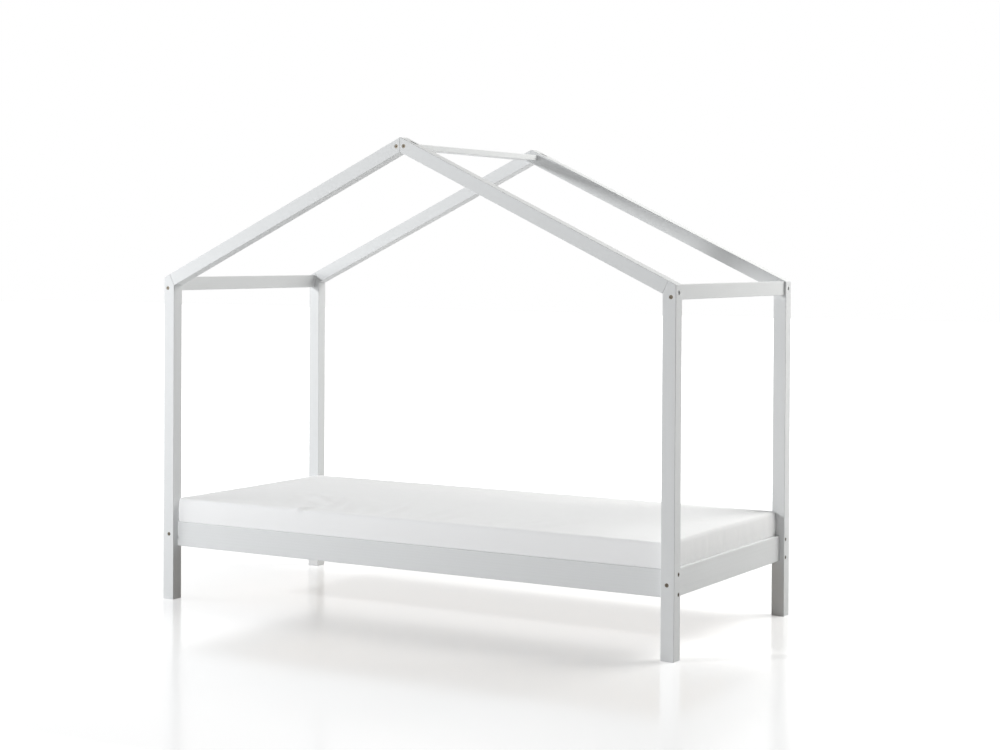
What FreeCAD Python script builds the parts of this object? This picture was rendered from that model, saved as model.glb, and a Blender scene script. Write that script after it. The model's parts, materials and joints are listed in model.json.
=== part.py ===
"""House frame bed: four posts, two gables, rails, a roll of slats and a mattress with its sheet.

Millimetres. X runs along the bed's length, Y across its width, and Z is up. The origin is on the
floor under the middle of the bed. Each joint has one set of bores, cut from both pieces that meet
there, so a bolt or dowel always lines up with its holes. The bed is the same on both sides of its
middle planes, apart from the bolt that draws each gable together at the apex.
"""
import FreeCAD, Part
import math
import os
import Sketcher

DRIVING_SIZES = [
    # the frame
    ("bed_length", "2066"),             # over the posts
    ("bed_width", "972"),               # over the posts
    ("bed_height", "1680"),             # floor to apex
    ("roof_pitch", "25.4"),             # degrees from level
    ("timber_side", "47"),              # square section of posts and rafters
    ("edge_radius", "2"),               # easing of every timber edge
    ("rail_height", "89"),
    ("rail_thickness", "22"),
    ("rail_bottom", "197"),             # floor to the underside of all four rails
    ("side_rail_setback", "25"),        # post's outer face to the rail's
    ("end_rail_setback", "18"),
    ("eave_beam_height", "49"),
    ("eave_beam_thickness", "20"),
    ("eave_beam_setback", "7.5"),
    ("eave_beam_drop", "3"),            # under the roof line at the beam's outer face
    ("ridge_beam_width", "52"),
    ("ridge_beam_thickness", "20"),
    ("ridge_beam_drop", "21.5"),        # apex to the top of the beam, which lies flat
    # bolts and threaded inserts
    ("bolt_diameter", "6"),
    ("bolt_hole_diameter", "6.6"),
    ("bolt_head_diameter", "13.2"),     # fills its counterbore, as in the photograph
    ("bolt_head_height", "6"),
    ("bolt_key_width", "5"),            # across the flats of the hexagon socket
    ("bolt_key_depth", "3.5"),
    ("counterbore_diameter", "14"),
    ("counterbore_depth", "7"),         # leaves the head 1 mm below the face
    ("foot_bolt_recess", "16"),         # along the sloping axis, from the post's outer face
    ("apex_bolt_recess", "20"),         # from the roof slope, on the bolt's level axis
    ("insert_diameter", "9"),
    ("insert_length", "15"),
    ("insert_room", "6"),               # bore left free past the insert
    ("fit_play", "0.1"),                # all round a dowel, insert, bolt thread or screw
    ("rail_bolt_inset", "8"),           # rail's outer face to the bolt's axis
    ("side_bolt_spacing", "64"),
    ("eave_bolt_rise", "9"),            # beam's underside to the bolt's axis
    ("ridge_bolt_spacing", "30"),
    ("apex_bolt_drop", "20"),
    # dowels
    ("dowel_diameter", "8"),
    ("dowel_depth", "12"),              # length of a dowel in each of its two pieces
    ("dowel_room", "1"),                # bore left free at each end
    ("end_rail_dowel_spacing", "40"),
    ("eave_dowel_rise", "34"),
    ("foot_dowel_spacing", "26"),
    ("apex_dowel_drop", "44"),
    # slats and what carries them
    ("slat_count", "14"),
    ("slat_width", "70"),
    ("slat_thickness", "18"),
    ("slat_end_play", "2"),             # slat's end to the side rail
    ("slat_edge_gap", "24"),            # outermost slat to the end rail
    ("slat_rest_play", "0.3"),          # slat over its ledge
    ("tape_width", "25"),
    ("tape_thickness", "1.2"),
    ("tape_spacing", "560"),
    ("ledge_width", "20"),
    ("ledge_height", "30"),
    ("ledge_end_gap", "12"),            # ledge's end to the end rail
    ("screw_count", "6"),               # in each ledge
    ("screw_diameter", "4"),
    ("screw_head_diameter", "8"),
    ("screw_length", "35"),
    ("screw_end_inset", "90"),          # ledge's end to its first screw
    # mattress and sheet
    ("mattress_length", "2000"),        # over the sheet
    ("mattress_width", "900"),
    ("mattress_thickness", "98"),       # at the crown, over the sheet
    ("mattress_corner", "50"),          # radius in plan
    ("mattress_roll", "16"),            # radius of the long top and bottom edges
    ("mattress_crown", "12"),           # rise of the middle over the edges
    ("mattress_side_draw", "3"),        # sides pulled in between the corners
    ("mattress_rest_play", "0.3"),      # over the rails and slats
    ("sheet_thickness", "2"),
    ("sheet_play", "0.3"),              # between the sheet and the mattress
    ("sheet_tuck", "110"),              # hem under the mattress, from its edge
]

ACROSS_X = FreeCAD.Vector(1, 0, 0)
ACROSS_Y = FreeCAD.Vector(0, 1, 0)
INTO_LEFT = FreeCAD.Rotation(FreeCAD.Vector(0, 1, 0), -90)
INTO_REAR = FreeCAD.Rotation(FreeCAD.Vector(1, 0, 0), -90)
INTO_FRONT = FreeCAD.Rotation(FreeCAD.Vector(1, 0, 0), 90)
UP_THE_RAFTER = FreeCAD.Rotation(FreeCAD.Vector(0, 1, 0), -60)
BORE_RUN_OUT = 20.0                     # bore past the face that it starts from
SOLVER_START = 100.0                    # rough radius of an outline before its sizes are set


class Cells:
    """Gives the text that stands for a size of the sheet in a formula."""

    def __getattr__(self, alias):
        return "Dimensions." + alias


doc = FreeCAD.newDocument("HouseFrameBed")
sheet = doc.addObject("Spreadsheet::Sheet", "Dimensions")
for row, (alias, value) in enumerate(DRIVING_SIZES, start=1):
    sheet.set("A%d" % row, alias)
    sheet.set("B%d" % row, value)
    sheet.setAlias("B%d" % row, alias)
doc.recompute()
cell = Cells()

# ---------------------------------------------------------------- places worked out from the sizes
PITCH_SIN = f"sin({cell.roof_pitch} * 1 deg)"
PITCH_COS = f"cos({cell.roof_pitch} * 1 deg)"
PITCH_TAN = f"tan({cell.roof_pitch} * 1 deg)"
POST_OUTER_X = f"({cell.bed_length} / 2)"
POST_OUTER_Y = f"({cell.bed_width} / 2)"
POST_INNER_X = f"({POST_OUTER_X} - {cell.timber_side})"
POST_INNER_Y = f"({POST_OUTER_Y} - {cell.timber_side})"
POST_MIDDLE_Y = f"({POST_OUTER_Y} - {cell.timber_side} / 2)"
APEX_UNDERSIDE = f"({cell.bed_height} - {cell.timber_side} / {PITCH_COS})"
KNEE_HEIGHT = f"({APEX_UNDERSIDE} - {POST_INNER_X} * {PITCH_TAN})"
SHOULDER_X = f"({POST_INNER_X} + {cell.timber_side} * {PITCH_SIN})"
SHOULDER_HEIGHT = f"({KNEE_HEIGHT} + {cell.timber_side} * {PITCH_COS})"
EAVE_HEIGHT = f"({cell.bed_height} - {POST_OUTER_X} * {PITCH_TAN})"
SEAT_MIDDLE_X = f"({POST_INNER_X} + {cell.timber_side} / 2 * {PITCH_SIN})"
SEAT_MIDDLE_HEIGHT = f"({KNEE_HEIGHT} + {cell.timber_side} / 2 * {PITCH_COS})"
FOOT_GRIP = f"(({POST_OUTER_X} - {SEAT_MIDDLE_X}) / {PITCH_COS})"
FOOT_BOLT_HEIGHT = f"({SEAT_MIDDLE_HEIGHT} - ({POST_OUTER_X} - {SEAT_MIDDLE_X}) * {PITCH_TAN})"
RAIL_TOP = f"({cell.rail_bottom} + {cell.rail_height})"
RAIL_MIDDLE = f"({cell.rail_bottom} + {cell.rail_height} / 2)"
SIDE_RAIL_OUTER_Y = f"({POST_OUTER_Y} - {cell.side_rail_setback})"
SIDE_RAIL_INNER_Y = f"({SIDE_RAIL_OUTER_Y} - {cell.rail_thickness})"
END_RAIL_OUTER_X = f"({POST_OUTER_X} - {cell.end_rail_setback})"
END_RAIL_INNER_X = f"({END_RAIL_OUTER_X} - {cell.rail_thickness})"
EAVE_BEAM_OUTER_X = f"({POST_OUTER_X} - {cell.eave_beam_setback})"
EAVE_BEAM_INNER_X = f"({EAVE_BEAM_OUTER_X} - {cell.eave_beam_thickness})"
EAVE_BEAM_MIDDLE_X = f"({EAVE_BEAM_OUTER_X} - {cell.eave_beam_thickness} / 2)"
EAVE_BEAM_TOP = f"({cell.bed_height} - {EAVE_BEAM_OUTER_X} * {PITCH_TAN} - {cell.eave_beam_drop})"
EAVE_BEAM_BOTTOM = f"({EAVE_BEAM_TOP} - {cell.eave_beam_height})"
RIDGE_BEAM_TOP = f"({cell.bed_height} - {cell.ridge_beam_drop})"
RIDGE_BEAM_BOTTOM = f"({RIDGE_BEAM_TOP} - {cell.ridge_beam_thickness})"
RIDGE_BEAM_MIDDLE = f"({RIDGE_BEAM_TOP} - {cell.ridge_beam_thickness} / 2)"
APEX_BOLT_HEIGHT = f"({cell.bed_height} - {cell.apex_bolt_drop})"
APEX_BOLT_ENTRY_X = f"({cell.apex_bolt_drop} / {PITCH_TAN})"
LEDGE_TOP = f"({RAIL_TOP} - {cell.slat_thickness} - {cell.slat_rest_play})"
LEDGE_BOTTOM = f"({LEDGE_TOP} - {cell.ledge_height})"
LEDGE_INNER_Y = f"({SIDE_RAIL_INNER_Y} - {cell.ledge_width})"
LEDGE_LENGTH = f"(2 * ({END_RAIL_INNER_X} - {cell.ledge_end_gap}))"
SLAT_BOTTOM = f"({RAIL_TOP} - {cell.slat_thickness})"
SLAT_LENGTH = f"(2 * ({SIDE_RAIL_INNER_Y} - {cell.slat_end_play}))"
FIRST_SLAT_X = f"({END_RAIL_INNER_X} - {cell.slat_edge_gap} - {cell.slat_width} / 2)"


# ---------------------------------------------------------------- how a piece is made
def origin_plane(body, role):
    """Returns one of a body's own origin planes."""
    return next(plane for plane in body.Origin.OriginFeatures if plane.Role == role)


def timber(name, role, corners, length, outward=False):
    """Makes a timber: an outline on one origin plane, padded, with every edge eased.

    The corners are pairs of formulas in the plane. The pad is even about the plane, or on one
    side of it where outward is set.
    """
    body = doc.addObject("PartDesign::Body", name)
    outline = body.newObject("Sketcher::SketchObject", name + "_outline")
    outline.AttachmentSupport = [(origin_plane(body, role), "")]
    outline.MapMode = "FlatFace"
    count = len(corners)
    turns = [math.radians(225 + 360 * index / count) for index in range(count)]
    rough = [FreeCAD.Vector(math.cos(turn), math.sin(turn), 0) * SOLVER_START for turn in turns]
    for index in range(count):
        outline.addGeometry(Part.LineSegment(rough[index], rough[(index + 1) % count]))
    for index in range(count):
        outline.addConstraint(Sketcher.Constraint("Coincident", index, 2, (index + 1) % count, 1))
    for index, (across, up) in enumerate(corners):
        level = Sketcher.Constraint("DistanceX", -1, 1, index, 1, rough[index].x)
        plumb = Sketcher.Constraint("DistanceY", -1, 1, index, 1, rough[index].y)
        outline.setExpression("Constraints[%d]" % outline.addConstraint(level), across)
        outline.setExpression("Constraints[%d]" % outline.addConstraint(plumb), up)
    pad = body.newObject("PartDesign::Pad", name + "_pad")
    pad.Profile = outline
    pad.setExpression("Length", length)
    pad.Midplane = not outward
    pad.Reversed = outward
    doc.recompute()
    easing = body.newObject("PartDesign::Fillet", name + "_easing")
    easing.Base = (pad, ["Face1"])
    easing.UseAllEdges = True
    easing.setExpression("Radius", cell.edge_radius)
    body.Tip = easing
    doc.recompute()
    return body


def rectangle(low_across, low_up, high_across, high_up):
    """Returns the four corners of an upright rectangle."""
    return [(low_across, low_up), (high_across, low_up), (high_across, high_up), (low_across, high_up)]


def cylinder(name, diameter, start, length):
    """Makes a cylinder along Z from formulas for its diameter, start and length."""
    rod = doc.addObject("Part::Cylinder", name)
    rod.setExpression("Radius", f"({diameter}) / 2")
    rod.setExpression("Height", length)
    rod.setExpression("Placement.Base.z", start)
    return rod


def joined(name, pieces):
    """Fuses pieces that make one solid."""
    fuse = doc.addObject("Part::MultiFuse", name)
    fuse.Shapes = pieces
    return fuse


def cut(name, base, tool):
    """Cuts the tool out of the base."""
    result = doc.addObject("Part::Cut", name)
    result.Base = base
    result.Tool = tool
    return result


def group(name, pieces):
    """Groups separate solids without joining them."""
    compound = doc.addObject("Part::Compound", name)
    compound.Links = pieces
    return compound


def mirrored(name, source, normal):
    """Mirrors a piece in one of the bed's middle planes."""
    mirror = doc.addObject("Part::Mirroring", name)
    mirror.Source = source
    mirror.Normal = normal
    return mirror


def both_ends(name, source, normal):
    """Groups a piece with its mirror image."""
    return group(name, [source, mirrored(name + "_opposite", source, normal)])


def four_corners(name, source):
    """Groups a piece at one corner of the bed with its images at the other three."""
    return both_ends(name, both_ends(name + "_along", source, ACROSS_X), ACROSS_Y)


def seat(piece, place, turn):
    """Puts a piece made along Z at a place given by three formulas, turned into its axis."""
    piece.Placement = FreeCAD.Placement(FreeCAD.Vector(), turn)
    for axis, formula in zip("xyz", place):
        piece.setExpression("Placement.Base." + axis, formula)
    if turn is UP_THE_RAFTER:
        piece.setExpression("Placement.Rotation.Angle", f"({cell.roof_pitch} - 90) * 1 deg")
    return piece


class BoltedJoint:
    """A socket-head bolt in a counterbore, drawn up in a threaded insert in the other piece.

    Along its axis, 0 is the face the bolt goes in by and grip is the face where the pieces meet.
    """

    def __init__(self, name, place, turn, grip, recess=cell.counterbore_depth):
        past = f"({grip} + {cell.insert_length})"
        counterbore = cylinder(name + "_counterbore", cell.counterbore_diameter,
                               f"{-BORE_RUN_OUT}", f"{recess} + {BORE_RUN_OUT}")
        shank_bore = cylinder(name + "_shank_bore", cell.bolt_hole_diameter, "0", grip)
        insert_bore = cylinder(name + "_insert_bore", f"{cell.insert_diameter} + 2 * {cell.fit_play}",
                               grip, f"{cell.insert_length} + {cell.insert_room}")
        self.bore = joined(name + "_bore", [counterbore, shank_bore, insert_bore])
        head = cylinder(name + "_head", cell.bolt_head_diameter,
                        f"{recess} - {cell.bolt_head_height}", cell.bolt_head_height)
        shank = cylinder(name + "_shank", cell.bolt_diameter, recess, f"{past} - {recess}")
        key = doc.addObject("Part::Prism", name + "_key")
        key.Polygon = 6
        key.setExpression("Circumradius", f"{cell.bolt_key_width} / sqrt(3)")
        key.setExpression("Height", cell.bolt_key_depth)
        key.setExpression("Placement.Base.z", f"{recess} - {cell.bolt_head_height}")
        self.bolt = cut(name + "_bolt", joined(name + "_rod", [head, shank]), key)
        sleeve = cylinder(name + "_sleeve", cell.insert_diameter, grip, cell.insert_length)
        thread = cylinder(name + "_thread", f"{cell.bolt_diameter} + 2 * {cell.fit_play}",
                          grip, cell.insert_length)
        self.insert = cut(name + "_insert", sleeve, thread)
        for piece in (self.bore, self.bolt, self.insert):
            seat(piece, place, turn)


class DowelledJoint:
    """A wooden dowel, half in each piece. Along its axis, 0 is the face where the pieces meet."""

    def __init__(self, name, place, turn):
        room = f"({cell.dowel_depth} + {cell.dowel_room})"
        hole = cylinder(name + "_hole", f"{cell.dowel_diameter} + 2 * {cell.fit_play}",
                        f"-{room}", f"2 * {room}")
        peg = cylinder(name + "_peg", cell.dowel_diameter,
                       f"-{cell.dowel_depth}", f"2 * {cell.dowel_depth}")
        self.bore = seat(group(name + "_bore", [hole]), place, turn)
        self.dowel = seat(group(name + "_dowel", [peg]), place, turn)


def value(alias):
    """Reads one size from the sheet."""
    return float(getattr(sheet, alias))


# ---------------------------------------------------------------- joints of the front right corner
def side_rail_joint(name, rise):
    """Bolt through the post, along the bed, into the end of the side rail."""
    place = (POST_OUTER_X, f"{cell.rail_bolt_inset} - {SIDE_RAIL_OUTER_Y}", f"{RAIL_MIDDLE} + {rise}")
    return BoltedJoint(name, place, INTO_LEFT, cell.timber_side)


def cross_joint(name, across, up):
    """Bolt through the post or rafter, across the bed, into the end of a cross piece."""
    return BoltedJoint(name, (across, f"-{POST_OUTER_Y}", up), INTO_REAR, cell.timber_side)


side_rail_low = side_rail_joint("side_rail_low", f"-{cell.side_bolt_spacing} / 2")
side_rail_high = side_rail_joint("side_rail_high", f"{cell.side_bolt_spacing} / 2")
END_BOLT_X = f"({END_RAIL_OUTER_X} - {cell.rail_bolt_inset})"
end_rail_joint = cross_joint("end_rail_joint", END_BOLT_X, RAIL_MIDDLE)
eave_joint = cross_joint("eave_joint", EAVE_BEAM_MIDDLE_X, f"{EAVE_BEAM_BOTTOM} + {cell.eave_bolt_rise}")
ridge_joint = cross_joint("ridge_joint", f"{cell.ridge_bolt_spacing} / 2", RIDGE_BEAM_MIDDLE)
foot_joint = BoltedJoint("foot_joint", (POST_OUTER_X, f"-{POST_MIDDLE_Y}", FOOT_BOLT_HEIGHT),
                         UP_THE_RAFTER, FOOT_GRIP, cell.foot_bolt_recess)
apex_joint = BoltedJoint("apex_joint", (APEX_BOLT_ENTRY_X, f"-{POST_MIDDLE_Y}", APEX_BOLT_HEIGHT),
                         INTO_LEFT, APEX_BOLT_ENTRY_X, cell.apex_bolt_recess)

end_rail_dowels = [
    DowelledJoint("end_rail_dowel_%d" % index,
                  (END_BOLT_X, f"-{POST_INNER_Y}", f"{RAIL_MIDDLE} + {side} * {cell.end_rail_dowel_spacing} / 2"),
                  INTO_REAR)
    for index, side in enumerate((-1, 1))]
eave_dowel = DowelledJoint("eave_dowel",
                           (EAVE_BEAM_MIDDLE_X, f"-{POST_INNER_Y}", f"{EAVE_BEAM_BOTTOM} + {cell.eave_dowel_rise}"),
                           INTO_REAR)
foot_dowels = [
    DowelledJoint("foot_dowel_%d" % index,
                  (SEAT_MIDDLE_X, f"{side} * {cell.foot_dowel_spacing} / 2 - {POST_MIDDLE_Y}", SEAT_MIDDLE_HEIGHT),
                  UP_THE_RAFTER)
    for index, side in enumerate((-1, 1))]
apex_dowel = DowelledJoint("apex_dowel",
                           ("0", f"-{POST_MIDDLE_Y}", f"{cell.bed_height} - {cell.apex_dowel_drop}"),
                           INTO_LEFT)

side_rail_bores = group("side_rail_bores", [side_rail_low.bore, side_rail_high.bore])
end_rail_bores = group("end_rail_bores", [end_rail_joint.bore] + [dowel.bore for dowel in end_rail_dowels])
eave_bores = group("eave_bores", [eave_joint.bore, eave_dowel.bore])
foot_bores = group("foot_bores", [foot_joint.bore] + [dowel.bore for dowel in foot_dowels])
apex_bores = group("apex_bores", [apex_joint.bore, apex_dowel.bore])
post_bores = group("post_bores", [side_rail_bores, end_rail_bores, eave_bores, foot_bores])

nodes = {}

# ---------------------------------------------------------------- gables: posts and rafters
post_corners = [(POST_INNER_X, "0"), (POST_OUTER_X, "0"), (POST_OUTER_X, EAVE_HEIGHT),
                (SHOULDER_X, SHOULDER_HEIGHT), (POST_INNER_X, KNEE_HEIGHT)]
rafter_corners = [("0", APEX_UNDERSIDE), (POST_INNER_X, KNEE_HEIGHT),
                  (SHOULDER_X, SHOULDER_HEIGHT), ("0", cell.bed_height)]
post_blank = timber("post_blank", "XZ_Plane", post_corners, cell.timber_side, outward=True)
rafter_blank = timber("rafter_blank", "XZ_Plane", rafter_corners, cell.timber_side, outward=True)
for blank in (post_blank, rafter_blank):
    blank.setExpression("Placement.Base.y", f"-{POST_OUTER_Y}")

nodes["post_front_right"] = cut("post_front_right", post_blank, post_bores)
nodes["rafter_front_right"] = cut("rafter_front_right", rafter_blank,
                                  group("rafter_right_bores", [foot_bores, ridge_joint.bore, apex_bores]))
left_bores = mirrored("rafter_left_own_bores", group("rafter_own_bores", [foot_bores, ridge_joint.bore]), ACROSS_X)
nodes["rafter_front_left"] = cut("rafter_front_left", mirrored("rafter_left_blank", rafter_blank, ACROSS_X),
                                 group("rafter_left_bores", [left_bores, apex_bores]))
nodes["post_front_left"] = mirrored("post_front_left", nodes["post_front_right"], ACROSS_X)
for front, rear in (("post_front_right", "post_rear_right"), ("post_front_left", "post_rear_left"),
                    ("rafter_front_right", "rafter_rear_right"), ("rafter_front_left", "rafter_rear_left")):
    nodes[rear] = mirrored(rear, nodes[front], ACROSS_Y)

# ---------------------------------------------------------------- beams across the bed
ridge_blank = timber("ridge_blank", "XZ_Plane",
                     rectangle(f"-{cell.ridge_beam_width} / 2", RIDGE_BEAM_BOTTOM,
                               f"{cell.ridge_beam_width} / 2", RIDGE_BEAM_TOP), f"2 * {POST_INNER_Y}")
nodes["ridge_beam"] = cut("ridge_beam", ridge_blank, four_corners("ridge_bores", ridge_joint.bore))
eave_blank = timber("eave_blank", "XZ_Plane",
                    rectangle(EAVE_BEAM_INNER_X, EAVE_BEAM_BOTTOM, EAVE_BEAM_OUTER_X, EAVE_BEAM_TOP),
                    f"2 * {POST_INNER_Y}")
nodes["eave_beam_right"] = cut("eave_beam_right", eave_blank, both_ends("eave_both", eave_bores, ACROSS_Y))
end_rail_blank = timber("end_rail_blank", "XZ_Plane",
                        rectangle(END_RAIL_INNER_X, cell.rail_bottom, END_RAIL_OUTER_X, RAIL_TOP),
                        f"2 * {POST_INNER_Y}")
nodes["end_rail_right"] = cut("end_rail_right", end_rail_blank,
                              both_ends("end_rail_both", end_rail_bores, ACROSS_Y))
for right, left in (("eave_beam_right", "eave_beam_left"), ("end_rail_right", "end_rail_left")):
    nodes[left] = mirrored(left, nodes[right], ACROSS_X)

# ---------------------------------------------------------------- side rails, ledges and their screws
screw_count = int(value("screw_count"))
screws = []
screw_bores = []
for index in range(screw_count):
    share = f"({index} / ({screw_count} - 1) - 0.5)"
    place = (f"{share} * ({LEDGE_LENGTH} - 2 * {cell.screw_end_inset})",
             f"-{LEDGE_INNER_Y}", f"{LEDGE_BOTTOM} + {cell.ledge_height} / 2")
    for kind, play, made in (("screw", "0", screws), ("screw_bore", cell.fit_play, screw_bores)):
        name = "%s_%d" % (kind, index + 1)
        head = doc.addObject("Part::Cone", name + "_head")
        head.setExpression("Radius1", f"{cell.screw_head_diameter} / 2 + {play}")
        head.setExpression("Radius2", f"{cell.screw_diameter} / 2 + {play}")
        head.setExpression("Height", f"({cell.screw_head_diameter} - {cell.screw_diameter}) / 2")
        shank = cylinder(name + "_shank", f"{cell.screw_diameter} + 2 * {play}", "0",
                         f"{cell.screw_length} + {play}")
        made.append(seat(joined(name, [head, shank]), place, INTO_FRONT))
ledge_bores = group("ledge_bores", screw_bores)

side_rail_blank = timber("side_rail_blank", "YZ_Plane",
                         rectangle(f"-{SIDE_RAIL_OUTER_Y}", cell.rail_bottom, f"-{SIDE_RAIL_INNER_Y}", RAIL_TOP),
                         f"2 * {POST_INNER_X}")
nodes["side_rail_front"] = cut("side_rail_front", side_rail_blank,
                               group("side_rail_all_bores",
                                     [both_ends("side_rail_both", side_rail_bores, ACROSS_X), ledge_bores]))
ledge_blank = timber("ledge_blank", "YZ_Plane",
                     rectangle(f"-{SIDE_RAIL_INNER_Y}", LEDGE_BOTTOM, f"-{LEDGE_INNER_Y}", LEDGE_TOP),
                     LEDGE_LENGTH)
nodes["slat_ledge_front"] = cut("slat_ledge_front", ledge_blank, ledge_bores)
for front, rear in (("side_rail_front", "side_rail_rear"), ("slat_ledge_front", "slat_ledge_rear")):
    nodes[rear] = mirrored(rear, nodes[front], ACROSS_Y)
nodes["ledge_screws"] = both_ends("ledge_screws", group("front_screws", screws), ACROSS_Y)

# ---------------------------------------------------------------- roll of slats on two tapes
slat_count = int(value("slat_count"))
for index in range(slat_count):
    name = "slat_%02d" % (index + 1)
    slat = timber(name, "XZ_Plane",
                  rectangle(f"-{cell.slat_width} / 2", SLAT_BOTTOM, f"{cell.slat_width} / 2", RAIL_TOP), SLAT_LENGTH)
    slat.setExpression("Placement.Base.x", f"(2 * {index} / ({slat_count} - 1) - 1) * {FIRST_SLAT_X}")
    nodes[name] = slat
for name, side in (("slat_tape_front", -1), ("slat_tape_rear", 1)):
    tape = doc.addObject("Part::Box", name)
    tape.setExpression("Length", f"2 * {FIRST_SLAT_X} + {cell.slat_width}")
    tape.setExpression("Width", cell.tape_width)
    tape.setExpression("Height", cell.tape_thickness)
    tape.setExpression("Placement.Base.x", f"-({FIRST_SLAT_X} + {cell.slat_width} / 2)")
    tape.setExpression("Placement.Base.y", f"{side} * {cell.tape_spacing} / 2 - {cell.tape_width} / 2")
    tape.setExpression("Placement.Base.z", f"{SLAT_BOTTOM} - {cell.tape_thickness}")
    nodes[name] = tape

# ---------------------------------------------------------------- bolts, inserts and dowels
FASTENERS = {
    "side_rail": [side_rail_low, side_rail_high],
    "end_rail": [end_rail_joint],
    "eave_beam": [eave_joint],
    "rafter_foot": [foot_joint],
    "ridge_beam": [ridge_joint],
}
for name, joints in FASTENERS.items():
    bolts = group(name + "_corner_bolts", [joint.bolt for joint in joints])
    inserts = group(name + "_corner_inserts", [joint.insert for joint in joints])
    nodes[name + "_bolts"] = four_corners(name + "_bolts", bolts)
    nodes[name + "_inserts"] = four_corners(name + "_inserts", inserts)
nodes["apex_bolts"] = both_ends("apex_bolts", apex_joint.bolt, ACROSS_Y)
nodes["apex_inserts"] = both_ends("apex_inserts", apex_joint.insert, ACROSS_Y)
nodes["end_rail_dowels"] = four_corners("end_rail_dowels",
                                        group("end_rail_corner_dowels", [dowel.dowel for dowel in end_rail_dowels]))
nodes["eave_beam_dowels"] = four_corners("eave_beam_dowels", eave_dowel.dowel)
nodes["rafter_foot_dowels"] = four_corners("rafter_foot_dowels",
                                           group("foot_corner_dowels", [dowel.dowel for dowel in foot_dowels]))
nodes["apex_dowels"] = both_ends("apex_dowels", apex_dowel.dowel, ACROSS_Y)
doc.recompute()


# ---------------------------------------------------------------- mattress and fitted sheet
def mattress_outline(inset, height):
    """Returns a level outline: rounded corners, and sides drawn in a little between them."""
    half_length = value("mattress_length") / 2 - inset
    half_width = value("mattress_width") / 2 - inset
    corner = max(value("mattress_corner") - inset, value("mattress_roll"))
    draw = value("mattress_side_draw")
    diagonal = corner * (1 - math.sqrt(0.5))
    edges = []
    for turn in range(4):
        reach, breadth = (half_length, half_width) if turn % 2 == 0 else (half_width, half_length)
        spin = FreeCAD.Rotation(FreeCAD.Vector(0, 0, 1), 90 * turn)
        side = [FreeCAD.Vector(reach, corner - breadth, height),
                FreeCAD.Vector(reach - draw, 0, height),
                FreeCAD.Vector(reach, breadth - corner, height)]
        bend = [side[2], FreeCAD.Vector(reach - diagonal, breadth - diagonal, height),
                FreeCAD.Vector(reach - corner, breadth, height)]
        for points in (side, bend):
            edges.append(Part.Arc(*[spin.multVec(point) for point in points]).toShape())
    return Part.Wire(edges)


def mattress_form(skin, bottom):
    """Returns the crowned form, with all its faces moved in by the skin."""
    roll = value("mattress_roll")
    top = value("mattress_thickness") - 2 * skin
    edge_top = top - value("mattress_crown")
    stations = [(roll * (1 - math.sin(turn)), roll * (1 - math.cos(turn)))
                for turn in (math.radians(angle) for angle in (0, 30, 60, 90))]
    stations += [(roll * (1 - math.cos(turn)), edge_top - roll * (1 - math.sin(turn)))
                 for turn in (math.radians(angle) for angle in (0, 30, 60, 90))]
    crown_run = value("mattress_width") / 3 - roll
    stations += [(roll + crown_run * share, edge_top + value("mattress_crown") * math.sin(share * math.pi / 2))
                 for share in (0.12, 0.3, 0.6, 1.0)]
    outlines = [mattress_outline(inset + skin, bottom + skin + height) for inset, height in stations]
    return Part.makeLoft(outlines, True, True)


mattress_bottom = value("rail_bottom") + value("rail_height") + value("mattress_rest_play")
sheet_thickness = value("sheet_thickness")
opening = Part.makeBox(value("mattress_length") - 2 * value("sheet_tuck"),
                       value("mattress_width") - 2 * value("sheet_tuck"), 4 * sheet_thickness)
opening.translate(FreeCAD.Vector(value("sheet_tuck") - value("mattress_length") / 2,
                                 value("sheet_tuck") - value("mattress_width") / 2,
                                 mattress_bottom - 2 * sheet_thickness))
sheet_skin = mattress_form(0, mattress_bottom).cut(mattress_form(sheet_thickness, mattress_bottom))
mattress_core = mattress_form(sheet_thickness + value("sheet_play"), mattress_bottom)
for name, shape in (("mattress", mattress_core), ("fitted_sheet", sheet_skin.cut(opening))):
    soft = doc.addObject("Part::Feature", name)
    soft.Shape = shape
    soft.Placement = FreeCAD.Placement()
    nodes[name] = soft
doc.recompute()

# ---------------------------------------------------------------- checks, and one file for each piece
for thing in doc.Objects:
    if "Invalid" in thing.State or "Error" in thing.State:
        raise RuntimeError("failed object: %s %s" % (thing.Name, thing.State))
os.makedirs("parts", exist_ok=True)
for name, piece in nodes.items():
    piece.Label = name
    shape = piece.Shape
    if shape.isNull() or not shape.isValid() or not shape.Solids:
        raise RuntimeError("bad shape: " + name)
    if len(shape.Solids) == 1:
        shape = shape.Solids[0]
    shape.exportStep("parts/%s.step" % name)
    box = shape.BoundBox
    print("%-22s %2d solids  %9.1f cm3  x %8.1f %8.1f  y %7.1f %7.1f  z %7.1f %7.1f" % (
        name, len(shape.Solids), shape.Volume / 1000, box.XMin, box.XMax, box.YMin, box.YMax, box.ZMin, box.ZMax))
print(len(nodes), "pieces")
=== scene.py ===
"""House frame bed: finishes, bedding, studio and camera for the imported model.

Metres, in the frame of the CAD model: X runs along the bed, Y across it and Z is up. The timber,
the fittings and the slat base keep their CAD meshes and get their finishes here. The mattress and
its fitted sheet are sewn forms that stand for their CAD solids. The staples and the hem's elastic
are new.
"""

import json
import logging
import math
from dataclasses import dataclass, field, replace
from enum import Enum
from typing import Callable, Optional, Sequence, Union

import bmesh
import bpy
import numpy as np
from mathutils import Matrix, Vector

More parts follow.
